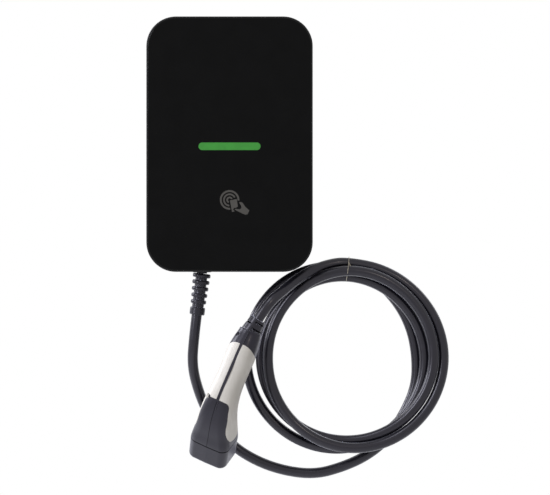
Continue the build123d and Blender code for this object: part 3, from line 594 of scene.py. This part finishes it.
def twisted_wire(start, phase):
    """One of the tie's two ends, wound round their common axis."""
    along = Vector(TIE_TWIST_WAY).normalized()
    side = along.cross(Vector((0, 1, 0))).normalized()
    lift = along.cross(side)
    path = []
    for number in range(TIE_TWIST_STEPS + 1):
        share = number / TIE_TWIST_STEPS
        turn = phase + share * TIE_TWIST_TURNS * 2 * math.pi
        reach = TIE_WIRE_RADIUS * (TIE_TWIST_REACH + TIE_SPLAY * max(share - TIE_SPLAY_START, 0))
        off_axis = (side * math.cos(turn) + lift * math.sin(turn)) * reach
        path.append(start + along * share * TIE_TWIST_LENGTH + off_axis)
    return path


def make_tie():
    reach = CABLE_RADIUS + TIE_WIRE_RADIUS
    turns = [math.radians(degrees) for degrees in range(0, 360, TIE_LOOP_STEP)]
    outline = hull_2d([
        (y + reach * math.cos(turn), z + reach * math.sin(turn))
        for y, z in strand_centres(TIE_X) for turn in turns
    ])
    top_z = max(z for y, z in outline)

    def leaning(y, z):
        return (TIE_X + TIE_LEAN * (z - top_z), y, z)

    above, below = (min(outline, key=lambda point: point[0] - slope * point[1]) for slope in TIE_TWIST_SLOPES)
    start = Vector(leaning((above[0] + below[0]) / 2 - TIE_WIRE_RADIUS, (above[1] + below[1]) / 2))
    curve = tube_curve("tie_wire", TIE_WIRE_RADIUS, TIE_WIRE_ROUNDNESS)
    paths = [[leaning(y, z) for y, z in outline], twisted_wire(start, 0), twisted_wire(start, math.pi)]
    for path, closed in zip(paths, (True, False, False)):
        spline = curve.splines.new("POLY")
        place_points(spline, path)
        spline.use_cyclic_u = closed
        spline.use_smooth = True
    tie = add_piece("tie_wire", curve, "tie_metal")
    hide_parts("coil_tie")
    return tie


def make_boot_sleeve():
    curve = tube_curve("boot_sleeve", 1.0, SLEEVE_ROUNDNESS)
    spline = curve.splines.new("POLY")
    place_points(spline, SLEEVE_ROUTE)
    for point, radius in zip(spline.points, SLEEVE_RADII):
        point.radius = radius
    spline.use_smooth = True
    return add_piece("boot_sleeve", curve, "slot_shade")


def plate_mesh(name, outlines, back_y, thickness):
    """Flat plates in the plane of the panel; each outline is a closed list of (x, z)."""
    verts, faces = [], []
    for outline in outlines:
        first, count = len(verts), len(outline)
        verts += [(x, back_y - thickness, z) for x, z in outline]
        verts += [(x, back_y, z) for x, z in outline]
        faces.append(tuple(range(first, first + count)))
        faces.append(tuple(reversed(range(first + count, first + 2 * count))))
        for k in range(count):
            n = (k + 1) % count
            faces.append((first + k, first + count + k, first + count + n, first + n))
    mesh = bpy.data.meshes.new(name)
    mesh.from_pydata(verts, [], faces)
    work = bmesh.new()
    work.from_mesh(mesh)
    bmesh.ops.recalc_face_normals(work, faces=work.faces)
    work.to_mesh(mesh)
    work.free()
    return mesh


def ring_outlines(outer, inner, start, stop):
    """Short pieces of a ring's arc, in pixels of the photograph."""
    sweep = stop - start
    angles = [math.radians(start + sweep * k / SIGN_ARC_STEPS) for k in range(SIGN_ARC_STEPS + 1)]
    return [
        [
            (SIGN_CENTRE[0] + radius * math.cos(angle), SIGN_CENTRE[1] - radius * math.sin(angle))
            for radius, angle in ((outer, a), (outer, b), (inner, b), (inner, a))
        ]
        for a, b in zip(angles, angles[1:])
    ]


def make_reader_sign():
    """Thin print, half sunk into the panel."""
    shapes = [outline for ring in SIGN_RINGS for outline in ring_outlines(*ring)] + [SIGN_CARD, SIGN_HAND]
    outlines = [[(place.x, place.z) for place in (from_pixel(*point) for point in shape)] for shape in shapes]
    mesh = plate_mesh("reader_sign", outlines, front_y + SIGN_THICKNESS / 2, SIGN_THICKNESS)
    add_piece("reader_sign", mesh, "mark_print")


materials = {name: surface(name, **look) for name, look in SURFACES.items()}
for name, look in SATIN.items():
    add_satin(materials[name], *look)
paint_seam_shade(materials["plug_dark"])
materials["light_green"] = make_light_material()
for part in frame["record"]["subparts"]:
    mesh = nodes[part["node"]].data
    mesh.materials.clear()
    mesh.materials.append(materials[OTHER_SURFACES.get(part["node"], part["material_slot"])])

make_camera()
make_world()
make_floor()
for lamp in LAMPS:
    area_lamp(*lamp)

cable = make_cable()
on_cable = [nodes[name] for name in PLUG_NODES] + [make_tie(), make_boot_sleeve()]
make_reader_sign()

bpy.context.scene.view_settings.view_transform = "Standard"
